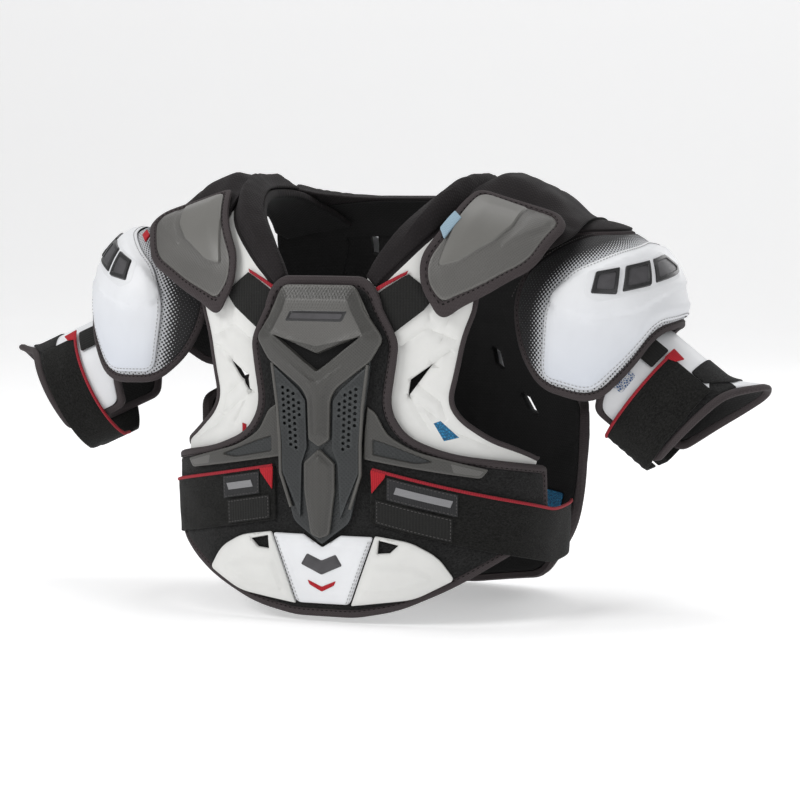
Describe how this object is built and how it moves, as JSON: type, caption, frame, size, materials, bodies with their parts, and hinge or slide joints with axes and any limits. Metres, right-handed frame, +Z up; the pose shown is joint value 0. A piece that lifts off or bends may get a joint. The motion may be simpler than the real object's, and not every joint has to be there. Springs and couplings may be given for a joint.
{
  "type": "hockey shoulder pads",
  "caption": "Hockey shoulder pads with chest guard, collar, domed shoulder cups, bicep guards and hook-and-loop straps.",
  "frame": {"origin": "where the pads rest on the shoulders: mid-line, at the underside of the shoulder arches", "axes": "+X towards the wearer's left, -Y is the front, +Z up"},
  "size_m": [0.7695, 0.3017, 0.4087],
  "materials": {
    "white_foam": "satin, embossed",
    "grey_plastic": "moulded, fine textured",
    "grey_plastic_dark": "moulded, satin",
    "loop_fabric": "brushed loop pile",
    "binding": "woven binding tape",
    "black_fabric": "padded knit",
    "black_liner": "smooth liner",
    "webbing": "woven elastic webbing",
    "halftone_fabric": "printed black to white mesh",
    "badge_gloss": "gloss raised badge",
    "label": "woven label",
    "red_tab": "woven red tape"
  },
  "bodies": {
    "torso": {"front_panel": "loop_fabric", "front_panel_binding": "binding", "sternum_base": "grey_plastic_dark", "sternum_shield": "grey_plastic", "sternum_lower_plate": "grey_plastic", "sternum_side_plate_right": "grey_plastic_dark", "sternum_side_plate_left": "grey_plastic_dark", "belly_pad_center": "white_foam", "belly_pad_right": "white_foam", "belly_pad_left": "white_foam", "back_panel": "black_liner", "back_panel_binding": "binding", "collar_back": "black_fabric", "spine_guard": "grey_plastic", "back_lumbar_pad": "white_foam", "back_shell_right": "white_foam", "back_shell_left": "white_foam", "vest_right": "white_foam", "chest_elastic_right": "webbing", "collar_right": "black_fabric", "wing_right": "grey_plastic", "shoulder_yoke_right": "black_fabric", "vest_left": "white_foam", "chest_elastic_left": "webbing", "collar_left": "black_fabric", "wing_left": "grey_plastic", "shoulder_yoke_left": "black_fabric"},
    "clavicle_right": {"clavicle_cap_right": "grey_plastic", "clavicle_cap_binding_right": "binding"},
    "cup_right": {"cup_liner_right": "black_liner", "cup_shell_right": "halftone_fabric", "cup_binding_right": "binding", "cup_plate_right": "white_foam", "cup_badge_right": "badge_gloss"},
    "bicep_tab_right": {"bicep_tab_right": "webbing"},
    "bicep_guard_right": {"bicep_guard_right": "white_foam", "bicep_guard_binding_right": "binding", "bicep_strap_anchor_right": "webbing"},
    "bicep_strap_right": {"bicep_strap_right": "webbing"},
    "body_strap_right": {"body_strap_right": "webbing", "strap_label_right": "label", "strap_pull_tab_right": "red_tab", "strap_hook_pad_right": "loop_fabric"},
    "clavicle_left": {"clavicle_cap_left": "grey_plastic", "clavicle_cap_binding_left": "binding"},
    "cup_left": {"cup_liner_left": "black_liner", "cup_shell_left": "halftone_fabric", "cup_binding_left": "binding", "cup_plate_left": "white_foam", "cup_badge_left": "badge_gloss"},
    "bicep_tab_left": {"bicep_tab_left": "webbing"},
    "bicep_guard_left": {"bicep_guard_left": "white_foam", "bicep_guard_binding_left": "binding", "bicep_strap_anchor_left": "webbing"},
    "bicep_strap_left": {"bicep_strap_left": "webbing"},
    "body_strap_left": {"body_strap_left": "webbing", "strap_label_left": "label", "strap_pull_tab_left": "red_tab", "strap_hook_pad_left": "loop_fabric"}
  },
  "joints": [
    {"name": "clavicle_right_flap", "type": "hinge", "parent": "torso", "child": "clavicle_right", "pos_m": [-0.159, -0.04639, -0.01406], "axis": [-0.9485, 0.1251, -0.2911], "range_deg": [0, 40]},
    {"name": "cup_right_lift", "type": "hinge", "parent": "torso", "child": "cup_right", "pos_m": [-0.208, 0.02, -0.115], "axis": [0, 1, 0], "range_deg": [-14, 18]},
    {"name": "bicep_right_swing", "type": "hinge", "parent": "cup_right", "child": "bicep_tab_right", "pos_m": [-0.208, 0.02, -0.115], "axis": [0, 1, 0], "range_deg": [-11, 3]},
    {"name": "bicep_right_length", "type": "slide", "parent": "bicep_tab_right", "child": "bicep_guard_right", "axis": [-0.8975, -0.1261, -0.4226], "range_m": [0, 0.02]},
    {"name": "bicep_right_strap_peel", "type": "hinge", "parent": "bicep_guard_right", "child": "bicep_strap_right", "pos_m": [-0.28088, 0.01939, -0.24724], "axis": [0.8975, 0.1261, 0.4226], "range_deg": [0, 35]},
    {"name": "body_strap_right_open", "type": "hinge", "parent": "torso", "child": "body_strap_right", "pos_m": [-0.1756, 0.0589, -0.3313], "axis": [0, 0, -1], "range_deg": [0, 40]},
    {"name": "clavicle_left_flap", "type": "hinge", "parent": "torso", "child": "clavicle_left", "pos_m": [0.159, -0.04639, -0.01406], "axis": [-0.9485, -0.1251, 0.2911], "range_deg": [0, 40]},
    {"name": "cup_left_lift", "type": "hinge", "parent": "torso", "child": "cup_left", "pos_m": [0.208, 0.02, -0.115], "axis": [0, -1, 0], "range_deg": [-8, 25]},
    {"name": "bicep_left_swing", "type": "hinge", "parent": "cup_left", "child": "bicep_tab_left", "pos_m": [0.208, 0.02, -0.115], "axis": [0, -1, 0], "range_deg": [-7, 3]},
    {"name": "bicep_left_length", "type": "slide", "parent": "bicep_tab_left", "child": "bicep_guard_left", "axis": [0.788, 0, -0.6157], "range_m": [0, 0.02]},
    {"name": "bicep_left_strap_peel", "type": "hinge", "parent": "bicep_guard_left", "child": "bicep_strap_left", "pos_m": [0.24448, 0.02, -0.23479], "axis": [0.788, 0, -0.6157], "range_deg": [0, 35]},
    {"name": "body_strap_left_open", "type": "hinge", "parent": "torso", "child": "body_strap_left", "pos_m": [0.1721, 0.0654, -0.3427], "axis": [0, 0, 1], "range_deg": [0, 40]}
  ]
}
